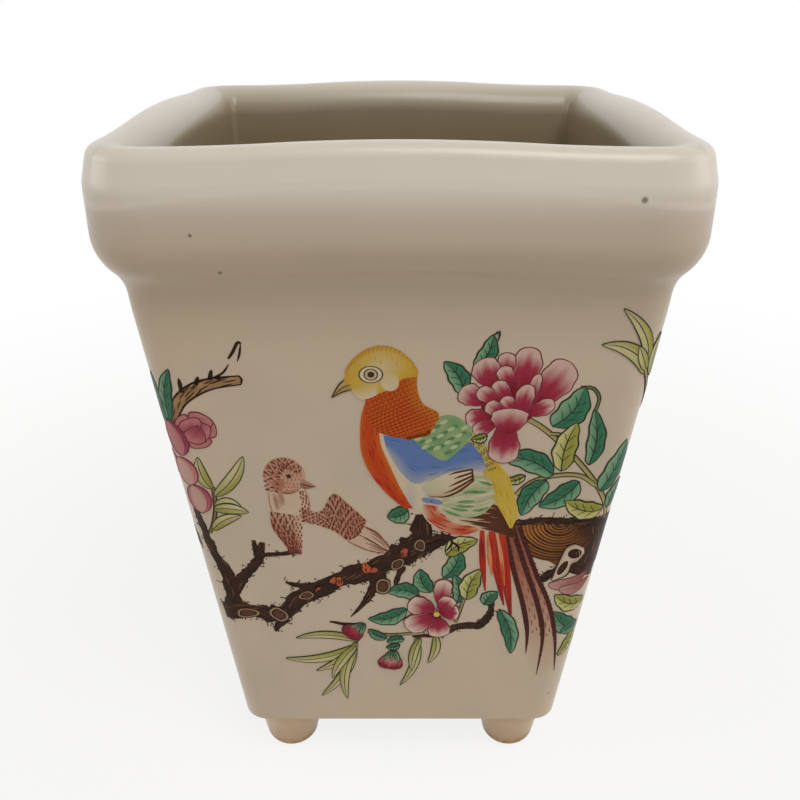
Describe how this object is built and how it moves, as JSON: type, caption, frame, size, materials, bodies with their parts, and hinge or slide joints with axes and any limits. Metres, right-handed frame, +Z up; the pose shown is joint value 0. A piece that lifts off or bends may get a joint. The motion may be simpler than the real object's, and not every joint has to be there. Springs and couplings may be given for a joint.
{
  "type": "flower pot",
  "caption": "Square tapering porcelain flower pot with a thick rounded rim, nub feet and a drain hole, painted with a pheasant, peony and blossom branch.",
  "frame": {"origin": "middle of the pot on the table, under the feet", "axes": "+Z up along the pot's axis, -Y towards the painted front, +X to the right of someone facing the front"},
  "size_m": [0.1202, 0.1202, 0.1651],
  "materials": {
    "glaze": "glossy warm ivory glaze",
    "biscuit_foot": "glaze that thins to bare warm clay at the sole",
    "enamel": "painted overglaze enamel colours with a soft gloss"
  },
  "bodies": {
    "root": {"front_wall": "glaze", "right_wall": "glaze", "rear_wall": "glaze", "left_wall": "glaze", "front_rim": "glaze", "right_rim": "glaze", "rear_rim": "glaze", "left_rim": "glaze", "floor_slab": "glaze", "front_left_foot": "biscuit_foot", "front_right_foot": "biscuit_foot", "rear_right_foot": "biscuit_foot", "rear_left_foot": "biscuit_foot"}
  },
  "joints": []
}
